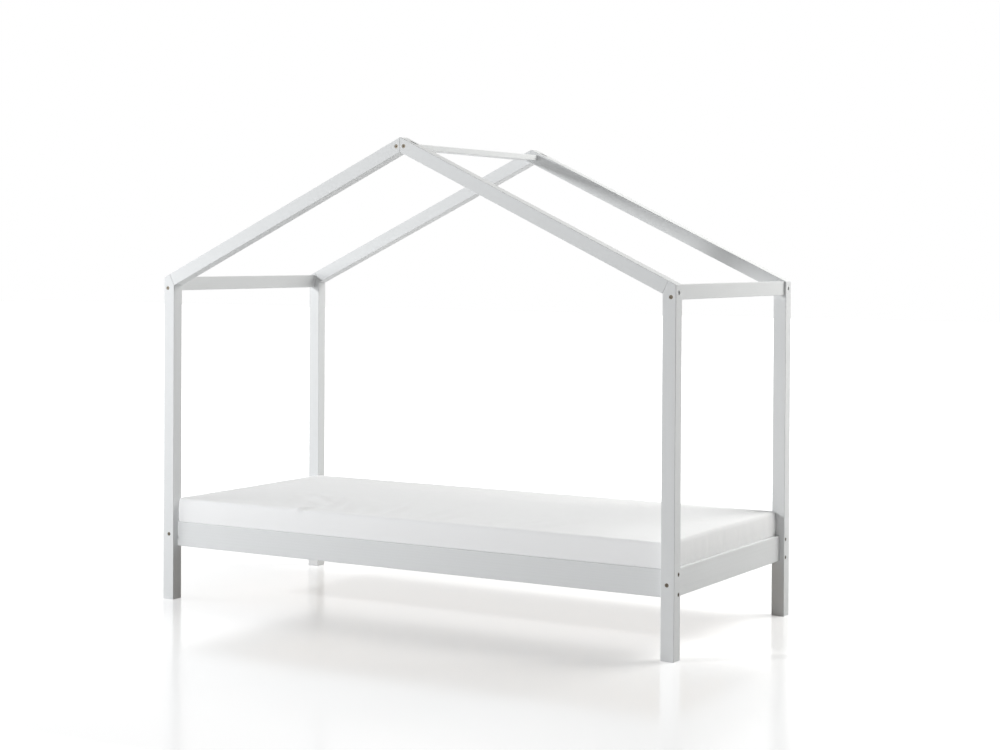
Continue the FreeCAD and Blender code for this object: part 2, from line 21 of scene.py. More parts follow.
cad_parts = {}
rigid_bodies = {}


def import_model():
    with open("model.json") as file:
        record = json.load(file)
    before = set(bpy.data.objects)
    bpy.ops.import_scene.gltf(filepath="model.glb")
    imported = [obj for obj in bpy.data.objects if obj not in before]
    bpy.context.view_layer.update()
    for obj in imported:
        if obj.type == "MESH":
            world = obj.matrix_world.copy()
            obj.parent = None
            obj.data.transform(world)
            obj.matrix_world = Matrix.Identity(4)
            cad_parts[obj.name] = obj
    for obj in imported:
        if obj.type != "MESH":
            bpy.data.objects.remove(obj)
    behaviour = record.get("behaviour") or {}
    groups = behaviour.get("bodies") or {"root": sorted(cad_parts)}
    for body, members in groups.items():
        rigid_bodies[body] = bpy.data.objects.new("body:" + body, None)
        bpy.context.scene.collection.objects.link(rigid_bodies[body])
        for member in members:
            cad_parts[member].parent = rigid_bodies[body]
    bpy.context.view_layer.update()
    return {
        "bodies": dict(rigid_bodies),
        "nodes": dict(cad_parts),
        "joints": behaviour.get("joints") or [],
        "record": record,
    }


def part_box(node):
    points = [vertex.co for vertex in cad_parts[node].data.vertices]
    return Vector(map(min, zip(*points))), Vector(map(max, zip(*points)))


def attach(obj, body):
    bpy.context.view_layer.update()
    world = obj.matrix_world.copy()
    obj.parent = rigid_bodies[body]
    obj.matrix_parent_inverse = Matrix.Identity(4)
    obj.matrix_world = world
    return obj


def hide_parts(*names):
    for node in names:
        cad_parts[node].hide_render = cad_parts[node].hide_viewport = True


LOG = logging.getLogger("house_frame_bed")

Colour = tuple[float, float, float]
Point = tuple[float, float, float]
Pair = tuple[float, float]
Material = bpy.types.Material
Mesh = bpy.types.Mesh
Object = bpy.types.Object
Socket = bpy.types.NodeSocket
InputValue = Union[float, Sequence[float], Socket]
Inputs = Optional[dict[Union[str, int], InputValue]]

ROOF_PITCH = math.radians(25.4)
SLAT_PITCH = 0.1437
FULL_TURN = 2 * math.pi
WHITE = (1.0, 1.0, 1.0, 1.0)
NOISE_RANGE = (0.3, 0.7)  # where nearly all of a noise texture's values lie
RING_STRETCH = 24.0  # a log's rings are this much longer along the grain than across it
ON_SURFACE = 1e-6  # a vertex nearer to a face than this lies on it
SIDE_MARGIN = 0.001  # a vertex nearer to the outline than this belongs to a side
HEM_MARGIN = 0.0008  # a vertex less than this above the bottom belongs to the hem


class Grain(Enum):
    """Which way a timber's grain runs, as the turn about X, Y and Z that lays the X axis on it."""

    ALONG_BED = (0.0, 0.0, 0.0)
    ACROSS_BED = (0.0, 0.0, math.pi / 2)
    UPRIGHT = (0.0, -math.pi / 2, 0.0)
    UP_LEFT_SLOPE = (0.0, -ROOF_PITCH, 0.0)
    UP_RIGHT_SLOPE = (0.0, ROOF_PITCH, 0.0)


# ---- node trees ----


class NodeTree:
    """A node tree, written one node at a time."""

    def __init__(self, tree: bpy.types.NodeTree) -> None:
        """Takes hold of a tree and empties it."""
        self.tree = tree
        self.tree.nodes.clear()

    def node(self, kind: str, inputs: Inputs = None, **settings: object) -> bpy.types.Node:
        """Adds one node.

        Args:
            kind: the node's type, such as "ShaderNodeBump".
            inputs: a constant, or a socket to link, for each input's name or number.
            **settings: the node's own properties.

        Returns:
            The new node.
        """
        node = self.tree.nodes.new(kind)
        for key, setting in settings.items():
            setattr(node, key, setting)
        for key, given in (inputs or {}).items():
            if isinstance(given, Socket):
                self.tree.links.new(given, node.inputs[key])
            else:
                node.inputs[key].default_value = given
        return node

    def add(
        self, kind: str, inputs: Inputs = None, output: Union[str, int] = 0, **settings: object
    ) -> Socket:
        """Adds one node and gives one of its outputs, the first unless another is named."""
        return self.node(kind, inputs, **settings).outputs[output]

    def maths(self, operation: str, *values: InputValue) -> Socket:
        """Works out one sum, product or other operation on one to three values."""
        return self.add("ShaderNodeMath", dict(enumerate(values)), operation=operation)

    def spread(
        self, value: Socket, low: float, high: float, to_low: float, to_high: float
    ) -> Socket:
        """Stretches a value from low..high to to_low..to_high."""
        return self.add("ShaderNodeMapRange", {0: value, 1: low, 2: high, 3: to_low, 4: to_high})


class ShaderTree(NodeTree):
    """The node tree of a material or of the world."""

    def __init__(self, owner: Union[Material, bpy.types.World]) -> None:
        """Starts an empty tree.

        Args:
            owner: the material or the world that it belongs to.
        """
        owner.use_nodes = True
        super().__init__(owner.node_tree)
        self.owner = owner

    @classmethod
    def of_material(cls, name: str) -> "ShaderTree":
        """Starts an empty tree in a new material of this name."""
        return cls(bpy.data.materials.new(name))

    def mapped(self, place: Socket, turn: Point, unit: Point) -> Socket:
        """Turns a point into a pattern's axes, in which unit metres count as one."""
        inputs = {"Vector": place, "Rotation": turn, "Scale": unit}
        return self.add("ShaderNodeMapping", inputs, vector_type="TEXTURE")

    def object_point(self, turn: Point = (0, 0, 0), unit: Point = (1, 1, 1)) -> Socket:
        """Gives the point in the object's coordinates, in axes with this turn and unit."""
        return self.mapped(self.add("ShaderNodeTexCoord", output="Object"), turn, unit)

    def surface_point(self, unit: Point) -> Socket:
        """Gives the point on the piece's own flat pattern, with unit metres counting as one."""
        return self.mapped(self.add("ShaderNodeUVMap", uv_map="cut"), (0, 0, 0), unit)

    def noise(self, point: Socket, scale: float, detail: float = 2.0, rough: float = 0.5) -> Socket:
        """Gives a cloudy value from 0 to 1 at a point."""
        inputs = {"Vector": point, "Scale": scale, "Detail": detail, "Roughness": rough}
        return self.add("ShaderNodeTexNoise", inputs)

    def cloud(self, scale: float, detail: float = 2.0) -> Socket:
        """Gives a noise that lies evenly over the object."""
        return self.noise(self.object_point(), scale, detail)

    def vary(self, noise: Socket, low: float, high: float) -> Socket:
        """Turns a noise into a value from low to high."""
        return self.spread(noise, *NOISE_RANGE, low, high)

    def lattice(self, point: Socket) -> Socket:
        """Multiplies a sine along X by a sine along Y, each with a period of 1.

        Args:
            point: the point in the pattern's axes.

        Returns:
            A value from -1 to 1.
        """
        sides = self.node("ShaderNodeSeparateXYZ", {0: point}).outputs
        turns = (self.maths("MULTIPLY", sides[axis], FULL_TURN) for axis in "XY")
        return self.maths("MULTIPLY", *(self.maths("SINE", turn) for turn in turns))

    def blend(self, share: InputValue, first: InputValue, second: InputValue) -> Socket:
        """Mixes two colours, share 0 giving the first."""
        inputs = {0: share, 6: with_alpha(first), 7: with_alpha(second)}
        return self.add("ShaderNodeMix", inputs, 2, data_type="RGBA")

    def bump(
        self, height: Socket, depth: float, strength: float, normal: Optional[Socket] = None
    ) -> Socket:
        """Gives a surface its relief.

        Args:
            height: the relief, where 1 stands for depth metres.
            depth: the relief's depth, in metres.
            strength: how much of it shows.
            normal: the normal of a coarser relief under this one, if there is one.

        Returns:
            The surface's normal.
        """
        inputs = {"Height": height, "Distance": depth, "Strength": strength}
        if normal is not None:
            inputs["Normal"] = normal
        return self.add("ShaderNodeBump", inputs)

    def seen_directly(self) -> Socket:
        """Tells the rays that end in the picture from those that only carry light.

        Returns:
            1 for a ray from the camera, also by way of a mirror or glass, and 0 for others.
        """
        rays = self.node("ShaderNodeLightPath").outputs
        seen = self.maths("MAXIMUM", rays["Is Camera Ray"], rays["Is Glossy Ray"])
        return self.maths("MAXIMUM", seen, rays["Is Transmission Ray"])

    def finish(self, **inputs: InputValue) -> Material:
        """Ends the tree in a Principled BSDF.

        Args:
            **inputs: the shader's inputs, with an underscore for each space in a name.

        Returns:
            The finished material.
        """
        named = {key.replace("_", " "): with_alpha(given) for key, given in inputs.items()}
        surface = self.add("ShaderNodeBsdfPrincipled", named)
        self.node("ShaderNodeOutputMaterial", {"Surface": surface})
        return self.owner


def with_alpha(given: InputValue) -> InputValue:
    """Gives a colour its fourth channel, and leaves anything else alone."""
    return (*given, 1.0) if isinstance(given, tuple) and len(given) == 3 else given


class GeometryTree(NodeTree):
    """A Geometry Nodes tree whose named inputs are the sizes of what it makes."""

    def __init__(self, name: str) -> None:
        """Starts an empty tree.

        Args:
            name: the tree's name.
        """
        super().__init__(bpy.data.node_groups.new(name, "GeometryNodeTree"))
        self.sizes: dict[str, float] = {}
        sockets = self.tree.interface
        for side in ("INPUT", "OUTPUT"):
            sockets.new_socket("Geometry", in_out=side, socket_type="NodeSocketGeometry")
        self.entry = self.node("NodeGroupInput")

    @property
    def given(self) -> Socket:
        """The geometry that the tree is laid on."""
        return self.entry.outputs["Geometry"]

    def size(self, name: str, value: float) -> Socket:
        """Adds a named input.

        Args:
            name: what the input is called.
            value: its value, a whole number where it counts things.

        Returns:
            The socket that gives it inside the tree.
        """
        kind = "NodeSocketInt" if isinstance(value, int) else "NodeSocketFloat"
        self.tree.interface.new_socket(name, in_out="INPUT", socket_type=kind)
        self.sizes[name] = value
        return self.entry.outputs[name]

    def point(self, x: InputValue = 0.0, y: InputValue = 0.0, z: InputValue = 0.0) -> Socket:
        """Joins three values into a point."""
        return self.add("ShaderNodeCombineXYZ", {0: x, 1: y, 2: z})

    def row(self, count: InputValue, start: Socket, step: Socket) -> Socket:
        """Gives a row of points, each a step on from the last."""
        inputs = {"Count": count, "Start Location": start, "Offset": step}
        return self.add("GeometryNodeMeshLine", inputs)

    def make(
        self, name: str, geometry: Socket, material: Material, laid_on: Optional[Mesh] = None
    ) -> Object:
        """Ends the tree, runs it and keeps what it makes as a plain mesh.

        Args:
            name: the new piece's name.
            geometry: what the tree makes.
            material: the material of all its faces.
            laid_on: the mesh that the tree starts from, if it needs one.

        Returns:
            The new piece, with no modifier on it.
        """
        real = self.add("GeometryNodeRealizeInstances", {0: geometry})
        faced = self.add("GeometryNodeSetMaterial", {"Geometry": real, "Material": material})
        self.node("NodeGroupOutput", {0: faced})
        start = laid_on.copy() if laid_on else bpy.data.meshes.new(name)
        piece = new_piece(name, start)
        rule = piece.modifiers.new(self.tree.name, "NODES")
        rule.node_group = self.tree
        for item in self.tree.interface.items_tree:
            if item.item_type == "SOCKET" and item.in_out == "INPUT" and item.name in self.sizes:
                rule[item.identifier] = self.sizes[item.name]
        apply_modifiers(piece)
        return piece


# ---- finishes ----


@dataclass(frozen=True)
class SatinLacquer:
    """White satin lacquer, sprayed over planed softwood whose grain still shows faintly."""

    colour: Colour = (0.755, 0.765, 0.768)
    thin_colour: Colour = (0.73, 0.74, 0.74)
    roughness: float = 0.36
    ring_spacing: float = 0.0045
    fibre_unit: Point = (0.12, 0.004, 0.004)
    grain_depth: float = 0.00005
    spray_depth: float = 0.00001

    def material(self, grain: Grain) -> Material:
        """Makes the finish for timbers whose grain runs one way.

        Args:
            grain: the way that the timbers' grain runs.

        Returns:
            The material.
        """
        tree = ShaderTree.of_material("satin_lacquer_" + grain.name.lower())
        rings = growth_rings(tree, grain, self.ring_spacing)
        fibre = tree.noise(tree.object_point(grain.value, self.fibre_unit), 1.0)
        cloud = tree.cloud(4.0)
        spray = tree.cloud(400.0, 1.0)
        thin = tree.maths("MULTIPLY", tree.spread(rings, 0.35, 0.9, 0.0, 0.8), fibre)
        relief = tree.maths("ADD", tree.maths("MULTIPLY", rings, 0.6), fibre)
        grain_normal = tree.bump(relief, self.grain_depth, 0.35)
        return tree.finish(
            Base_Color=tree.blend(thin, self.colour, self.thin_colour),
            Roughness=tree.vary(cloud, self.roughness - 0.04, self.roughness + 0.06),
            Normal=tree.bump(spray, self.spray_depth, 0.3, grain_normal),
            Specular_IOR_Level=0.3,
        )


@dataclass(frozen=True)
class PlanedPine:
    """Bare planed pine, each slat cut from another part of the log."""

    early_wood: Colour = (0.72, 0.53, 0.31)
    late_wood: Colour = (0.52, 0.31, 0.14)
    knot: Colour = (0.20, 0.09, 0.035)
    roughness: float = 0.62
    ring_spacing: float = 0.0052
    fibre_unit: Point = (0.05, 0.0009, 0.0009)
    fibre_depth: float = 0.00015
    knot_spacing: float = 0.34
    knot_edge: Pair = (0.025, 0.075)

    def material(self, grain: Grain) -> Material:
        """Makes the finish for slats whose grain runs one way.

        Args:
            grain: the way that the slats' grain runs.

        Returns:
            The material.
        """
        tree = ShaderTree.of_material("planed_pine_" + grain.name.lower())
        rings = growth_rings(tree, grain, self.ring_spacing, SLAT_PITCH)
        fibre = tree.noise(tree.object_point(grain.value, self.fibre_unit), 1.0, 3.0, 0.6)
        share = tree.maths("MULTIPLY", tree.spread(rings, 0.45, 1.0, 0.0, 0.85), fibre)
        wood = tree.blend(tree.maths("MULTIPLY", share, 1.5), self.early_wood, self.late_wood)
        cells = tree.object_point(grain.value, (self.knot_spacing, SLAT_PITCH, SLAT_PITCH))
        nearest = tree.add("ShaderNodeTexVoronoi", {"Vector": cells, "Scale": 1.0})
        knot = tree.spread(nearest, *self.knot_edge, 1.0, 0.0)
        return tree.finish(
            Base_Color=tree.blend(knot, wood, self.knot),
            Roughness=tree.vary(fibre, self.roughness + 0.06, self.roughness - 0.06),
            Normal=tree.bump(tree.maths("ADD", fibre, rings), self.fibre_depth, 0.4),
            Specular_IOR_Level=0.3,
        )


def growth_rings(tree: ShaderTree, grain: Grain, spacing: float, pitch: float = 0.0) -> Socket:
    """Cuts the rings of a log, so that faces show long arches and ends show arcs.

    Args:
        tree: the tree to write in.
        grain: the way that the log lies.
        spacing: distance between two rings, in metres.
        pitch: width of the strips along the bed that come from other logs, or 0 for one log.

    Returns:
        A value that rises to 1 in the late wood of each ring.
    """
    point = tree.object_point(grain.value, (RING_STRETCH, 1.0, 1.0))
    if pitch:
        along = tree.add("ShaderNodeSeparateXYZ", {0: tree.object_point()})
        strip = tree.maths("FLOOR", tree.maths("DIVIDE", along, pitch))
        log = tree.add("ShaderNodeTexWhiteNoise", {"W": strip}, "Color", noise_dimensions="1D")
        point = tree.add("ShaderNodeVectorMath", {0: point, 1: log}, operation="ADD")
    shape = {
        "Vector": point,
        "Scale": FULL_TURN / 20 / spacing,  # the texture has 20 rings to a full turn of its scale
        "Distortion": 9.0,
        "Detail": 3.0,
        "Detail Scale": 0.35,
        "Detail Roughness": 0.55,
    }
    profile = {"wave_type": "RINGS", "rings_direction": "X", "wave_profile": "SAW"}
    return tree.add("ShaderNodeTexWave", shape, "Fac", **profile)


@dataclass(frozen=True)
class Speckled:
    """A bare finish with specks of another colour and a fine relief, for metal unless it says so.

    The specks and the relief are noises, each given by its scale and its detail.
    """

    name: str
    colour: Colour
    speck: Colour
    roughness: Pair
    specks: Pair = (350.0, 3.0)
    speck_edge: Pair = (0.4, 0.7)
    relief: Pair = (2600.0, 2.0)
    depth: float = 0.00004
    metallic: float = 1.0

    def material(self) -> Material:
        """Makes the speckled material.

        Returns:
            The material.
        """
        tree = ShaderTree.of_material(self.name)
        specks = tree.cloud(*self.specks)
        share = tree.spread(specks, *self.speck_edge, 0.0, 1.0)
        return tree.finish(
            Base_Color=tree.blend(share, self.colour, self.speck),
            Roughness=tree.vary(specks, *self.roughness),
            Normal=tree.bump(tree.cloud(*self.relief), self.depth, 0.4),
            Metallic=self.metallic,
        )


@dataclass(frozen=True)
class Webbing:
    """Cotton webbing in a plain weave."""

    colour: Colour = (0.80, 0.78, 0.71)
    shade: Colour = (0.58, 0.56, 0.50)
    pick: float = 0.0022
    weave_depth: float = 0.0004

    def material(self) -> Material:
        """Makes the webbing's material.

        Returns:
            The material.
        """
        tree = ShaderTree.of_material("cotton_webbing")
        threads = tree.lattice(tree.object_point(unit=(self.pick, self.pick, self.pick)))
        weave = tree.maths("ADD", tree.maths("MULTIPLY", threads, 0.5), 0.5)
        fuzz = tree.cloud(1800.0)
        return tree.finish(
            Base_Color=tree.blend(tree.maths("MULTIPLY", weave, fuzz), self.colour, self.shade),
            Roughness=tree.vary(fuzz, 0.82, 0.92),
            Normal=tree.bump(weave, self.weave_depth, 0.6),
            Sheen_Weight=0.2,
        )


@dataclass(frozen=True)
class CottonJersey:
    """Soft white cotton of the fitted sheet: fine ribs, and shallow creases from its folds."""

    colour: Colour = (0.95, 0.95, 0.95)
    shade: Colour = (0.92, 0.92, 0.925)
    rib: float = 0.0011
    rib_depth: float = 0.00012
    slub_unit: Point = (0.03, 0.0016, 1.0)
    slub_depth: float = 0.00012
    crease_unit: Point = (0.20, 0.045, 1.0)
    crease_depth: float = 0.0034
    cloud_unit: Point = (0.35, 0.2, 1.0)

    def material(self) -> Material:
        """Makes the sheet's material.

        Returns:
            The material.
        """
        tree = ShaderTree.of_material("cotton_jersey")
        knit = tree.lattice(tree.surface_point((self.rib, self.rib, self.rib)))
        slub = tree.noise(tree.surface_point(self.slub_unit), 1.0)
        crease = tree.noise(tree.surface_point(self.crease_unit), 1.0, 3.0, 0.55)
        cloud = tree.noise(tree.surface_point(self.cloud_unit), 1.0)
        crease_normal = tree.bump(crease, self.crease_depth, 0.5)
        slub_normal = tree.bump(slub, self.slub_depth, 0.4, crease_normal)
        return tree.finish(
            Base_Color=tree.blend(tree.maths("MULTIPLY", cloud, slub), self.colour, self.shade),
            Roughness=tree.vary(slub, 0.86, 0.94),
            Normal=tree.bump(knit, self.rib_depth, 0.35, slub_normal),
            Specular_IOR_Level=0.2,
            Sheen_Weight=0.25,
            Sheen_Roughness=0.5,
        )


@dataclass(frozen=True)
class KnittedTicking:
    """Off-white ticking with a small knitted lozenge, as on a foam mattress, with painted shade in
    its grooves.
    """

    colour: Colour = (0.80, 0.80, 0.77)
    # The grooves take this colour: painted shade in the recesses.
    shade: Colour = (0.62, 0.63, 0.62)
    lozenge: float = 0.024
    groove: float = 0.12
    groove_depth: float = 0.0008

    def material(self) -> Material:
        """Makes the ticking's material.

        Returns:
            The material.
        """
        tree = ShaderTree.of_material("knitted_ticking")
        unit = (self.lozenge, self.lozenge, self.lozenge)
        point = tree.object_point((0, 0, math.pi / 4), unit)
        sides = tree.node("ShaderNodeSeparateXYZ", {0: point}).outputs
        line = tree.maths("MINIMUM", *(tree.maths("PINGPONG", sides[axis], 0.5) for axis in "XY"))
        groove = tree.spread(line, 0.0, self.groove, 0.0, 1.0)
        loops = tree.cloud(1500.0)
        relief = tree.maths("ADD", groove, tree.maths("MULTIPLY", loops, 0.25))
        return tree.finish(
            # The grooves, where the relief sinks, are painted darker as painted shade.
            Base_Color=tree.blend(groove, self.shade, self.colour),
            Roughness=tree.vary(loops, 0.84, 0.94),
            Normal=tree.bump(relief, self.groove_depth, 0.6),
            Sheen_Weight=0.2,
        )


@dataclass(frozen=True)
class StudioFloor:
    """Pale floor that the camera sees as white, and that keeps the bed's shadow."""

    colour: Colour = (0.72, 0.72, 0.72)
    mottle: Colour = (0.70, 0.70, 0.70)
    roughness: float = 0.14
    lift: float = 0.36
    shadow_reach: float = 2.2
    white_from: float = 3.6

    def material(self) -> Material:
        """Makes the floor's material.

        Returns:
            The material.
        """
        tree = ShaderTree.of_material("studio_floor")
        place = tree.object_point()
        away = tree.add("ShaderNodeVectorMath", {0: place}, "Value", operation="LENGTH")
        far = tree.spread(away, self.shadow_reach, self.white_from, self.lift, 1.0)
        colour = tree.blend(tree.noise(place, 1.5), self.colour, self.mottle)
        looks = {"Base Color": colour, "Roughness": self.roughness}
        base = tree.add("ShaderNodeBsdfPrincipled", looks)
        strength = tree.maths("MULTIPLY", tree.seen_directly(), far)
        glow = tree.add("ShaderNodeEmission", {"Color": WHITE, "Strength": strength})
        both = tree.add("ShaderNodeAddShader", {0: base, 1: glow})
        tree.node("ShaderNodeOutputMaterial", {"Surface": both})
        tree.owner.cycles.emission_sampling = "NONE"
        return tree.owner


@dataclass
class Finishes:
    """One material of each finish, made once and shared by the pieces that have it."""

    lacquer: SatinLacquer = SatinLacquer()
    pine: PlanedPine = PlanedPine()
    zinc: Speckled = Speckled(
        "yellow_zinc", (0.165, 0.142, 0.112), (0.10, 0.087, 0.070), roughness=(0.36, 0.54)
    )
    brass: Speckled = Speckled(
        "turned_brass", (0.70, 0.53, 0.26), (0.50, 0.37, 0.18), roughness=(0.24, 0.42)
    )
    wire: Speckled = Speckled(
        "galvanised_wire", (0.62, 0.62, 0.62), (0.45, 0.45, 0.46), roughness=(0.30, 0.48)
    )
    beech: Speckled = Speckled(
        "fluted_beech", (0.66, 0.47, 0.30), (0.44, 0.27, 0.15), roughness=(0.6, 0.72),
        specks=(900.0, 2.0), speck_edge=(0.55, 0.7), relief=(900.0, 2.0), depth=0.0001, metallic=0,
    )
    thread: Speckled = Speckled(
        "sewing_thread", (0.78, 0.78, 0.78), (0.60, 0.60, 0.60), roughness=(0.5, 0.65),
        specks=(4000.0, 1.0), speck_edge=(0, 1), relief=(4000.0, 1.0), depth=0.0001, metallic=0,
    )
    made: dict[str, Material] = field(default_factory=dict)

    def get(self, name: str, maker: Callable[[], Material]) -> Material:
        """Gives a material, and makes it the first time.

        Args:
            name: what it is kept under.
            maker: what makes it.

        Returns:
            The material.
        """
        if name not in self.made:
            self.made[name] = maker()
        return self.made[name]

    def lacquered(self, grain: Grain) -> Material:
        """Gives the white lacquer over timber whose grain runs this way."""
        return self.get("lacquer " + grain.name, lambda: self.lacquer.material(grain))


# ---- helpers for meshes ----


def dress(thing: Object, material: Material) -> None:
    """Gives an object one material on all its faces.

    Args:
        thing: the object.
        material: the material, which takes every slot.
    """
    slots = thing.data.materials
    if len(slots) == 0:
        slots.append(material)
    for index in range(len(slots)):
        slots[index] = material


def new_piece(name: str, data: bpy.types.ID) -> Object:
    """Puts an object in the scene, at the origin.

    Args:
        name: the object's name.
        data: its mesh, lamp or camera.

    Returns:
        The object.
    """
    piece = bpy.data.objects.new(name, data)
    bpy.context.scene.collection.objects.link(piece)
    return piece


def apply_modifiers(piece: Object) -> None:
    """Turns an object's modifiers into its mesh, and takes them off.

    Args:
        piece: the object.
    """
    graph = bpy.context.evaluated_depsgraph_get()
    made = bpy.data.meshes.new_from_object(piece.evaluated_get(graph))
    piece.modifiers.clear()
    old = piece.data
    piece.data = made
    bpy.data.meshes.remove(old)


def rows_of(mesh: Mesh, attribute: str) -> np.ndarray:
    """Reads a row of three for each vertex of a mesh.

    Args:
        mesh: the mesh.
        attribute: Blender's name for what to read, such as "co" for the vertices' places.

    Returns:
        The rows, as an array.
    """
    flat = np.empty(len(mesh.vertices) * 3)
    mesh.vertices.foreach_get(attribute, flat)
    return flat.reshape(-1, 3)


def smooth(piece: Object) -> None:
    """Shades an object's faces smoothly."""
    piece.data.polygons.foreach_set("use_smooth", [True] * len(piece.data.polygons))


def spread_out(mesh: Mesh, values: np.ndarray, rounds: int) -> np.ndarray:
    """Averages a value over the vertices round each vertex.

    Args:
        mesh: the mesh whose edges join the vertices.
        values: one value for each vertex.
        rounds: how many times to average.

    Returns:
        The averaged values.
    """
    edges = np.empty(len(mesh.edges) * 2, dtype=int)
    mesh.edges.foreach_get("vertices", edges)
    first, second = edges.reshape(-1, 2).T
    count = np.bincount(edges, minlength=len(values))
    for _ in range(rounds):
        total = np.bincount(first, values[second], len(values))
        total += np.bincount(second, values[first], len(values))
        values = (values + total / count) / 2
    return values


# ---- the timber house frame ----


@dataclass
class HouseFrame:
    """Four posts, two gables, beams and rails, with the bolts and dowels that hold them."""

    nodes: dict[str, Object]
    finishes: Finishes
    left_slope: tuple[str, ...] = ("rafter_front_left", "rafter_rear_left")
    right_slope: tuple[str, ...] = ("rafter_front_right", "rafter_rear_right")
    across: tuple[str, ...] = (
        "ridge_beam", "eave_beam_left", "eave_beam_right", "end_rail_left", "end_rail_right"
    )
    along: tuple[str, ...] = (
        "side_rail_front", "side_rail_rear", "slat_ledge_front", "slat_ledge_rear"
    )

    def build(self) -> None:
        """Dresses the timbers and their fittings."""
        runs = {
            Grain.UPRIGHT: tuple(name for name in self.nodes if name.startswith("post_")),
            Grain.UP_LEFT_SLOPE: self.left_slope,
            Grain.UP_RIGHT_SLOPE: self.right_slope,
            Grain.ACROSS_BED: self.across,
            Grain.ALONG_BED: self.along,
        }
        for grain, names in runs.items():
            for name in names:
                dress(self.nodes[name], self.finishes.lacquered(grain))
                LOG.info("%s: white lacquer, grain %s", name, grain.name.lower())
        self.dress_fittings()

    def dress_fittings(self) -> None:
        """Dresses bolts, screws, inserts and dowels."""
        finishes = self.finishes
        zinc = finishes.get("zinc", finishes.zinc.material)
        brass = finishes.get("brass", finishes.brass.material)
        beech = finishes.get("beech", finishes.beech.material)
        endings = {"_bolts": zinc, "_screws": zinc, "_inserts": brass, "_dowels": beech}
        for name, node in self.nodes.items():
            for ending, material in endings.items():
                if name.endswith(ending):
                    dress(node, material)
                    LOG.info("%s: %s", name, material.name)


# ---- the slat base ----


@dataclass
class SlatBase:
    """Fourteen pine slats on two tapes, with the staples that hold them."""

    nodes: dict[str, Object]
    finishes: Finishes
    slat_count: int = 14
    staple_crown: float = 0.011
    staple_wire: float = 0.0006
    staple_pair: float = 0.012
    staple_bite: float = 0.0016
    staple_squareness: float = 8.0
    body: str = "slat_base"

    def build(self) -> None:
        """Dresses the slats and tapes, and drives the staples."""
        pine = self.finishes.get("pine", lambda: self.finishes.pine.material(Grain.ACROSS_BED))
        webbing = self.finishes.get("webbing", Webbing().material)
        for name, node in self.nodes.items():
            if name.startswith("slat_tape"):
                dress(node, webbing)
                self.drive_staples(name)
            elif name.startswith("slat_") and not name.startswith("slat_ledge"):
                dress(node, pine)
                LOG.info("%s: planed pine", name)

    def drive_staples(self, tape: str) -> None:
        """Drives two staples through a tape into each slat.

        Args:
            tape: the tape's node.
        """
        low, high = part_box(tape)
        tree = GeometryTree("staple_rule")
        count = tree.size("Slats", self.slat_count)
        pitch = tree.size("Slat pitch", SLAT_PITCH)
        crown = tree.size("Crown width", self.staple_crown)
        wire = tree.size("Wire radius", self.staple_wire)
        apart = tree.size("Distance in a pair", self.staple_pair)
        tape_y = tree.size("Tape middle", (low.y + high.y) / 2)
        tape_z = tree.size("Tape underside", low.z)
        half = tree.maths("MULTIPLY", crown, 0.5)
        start = tree.point(tree.maths("MULTIPLY", half, -1.0))
        line = tree.add("GeometryNodeCurvePrimitiveLine", {"Start": start, "End": tree.point(half)})
        parts = tree.add("GeometryNodeResampleCurve", {"Curve": line, "Count": 7})
        across = tree.add("ShaderNodeSeparateXYZ", {0: tree.add("GeometryNodeInputPosition")})
        share = tree.maths("POWER", tree.maths("DIVIDE", across, half), self.staple_squareness)
        bite = tree.point(z=tree.maths("MULTIPLY", share, self.staple_bite))
        bent = tree.add("GeometryNodeSetPosition", {"Geometry": parts, "Offset": bite})
        section = tree.add("GeometryNodeCurvePrimitiveCircle", {"Resolution": 6, "Radius": wire})
        staple = tree.add(
            "GeometryNodeCurveToMesh", {"Curve": bent, "Profile Curve": section, "Fill Caps": True}
        )
        first = tree.maths("MULTIPLY", apart, -0.5)
        pair = tree.add(
            "GeometryNodeInstanceOnPoints",
            {
                "Points": tree.row(2, tree.point(first), tree.point(apart)),
                "Instance": staple,
                "Rotation": (0, 0, math.pi / 2),
            },
        )
        middle = tree.maths("MULTIPLY", tree.maths("SUBTRACT", count, 1.0), 0.5)
        first_x = tree.maths("MULTIPLY", tree.maths("MULTIPLY", middle, pitch), -1.0)
        places = tree.row(count, tree.point(first_x, tape_y, tape_z), tree.point(pitch))
        pairs = tree.add("GeometryNodeInstanceOnPoints", {"Points": places, "Instance": pair})
        material = self.finishes.get("wire", self.finishes.wire.material)
        staples = tree.make(tape.replace("slat_tape", "staples"), pairs, material)
        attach(staples, self.body)
        LOG.info("%s: %d faces", staples.name, len(staples.data.polygons))


# ---- mattress and fitted sheet ----

# The corners of a grid's square, as steps along its two lines.
QUAD_STEPS = ((0, 0), (1, 0), (1, 1), (0, 1))
# Where the grid lines lie on a roll of 1, so that they share out its turn evenly.
ROLL_LINES = 1 - np.tan(np.radians([45, 33, 22, 11, 0]))


@dataclass(frozen=True)
class Fold:
    """A soft ridge in the top of the sheet, or a crease where its height is below 0."""

    start: Pair
    end: Pair
    width: float
    height: float

    def lift(self, plan: np.ndarray) -> np.ndarray:
        """Gives how far the fold lifts each point of the sheet.

        Args:
            plan: a row of x and y for each point.

        Returns:
            The lift of each point, in metres.
        """
        start, run = np.array(self.start), np.subtract(self.end, self.start)
        length = float(np.hypot(*run))
        along = (plan - start) @ run / length**2
        side = (plan - start) @ np.array([-run[1], run[0]]) / length
        taper = np.clip(1 - (2 * along - 1) ** 2, 0, 1)
        return self.height * taper * np.exp(-((side / self.width) ** 2))


@dataclass(frozen=True)
class Wave:
    """A sine wave, with its turn in radians for a step of 1."""

    turn: float
    phase: float = 0.0
    height: float = 1.0

    def at(self, place: np.ndarray) -> np.ndarray:
        """Gives the wave's value at each place."""
        return self.height * np.sin(place * self.turn + self.phase)


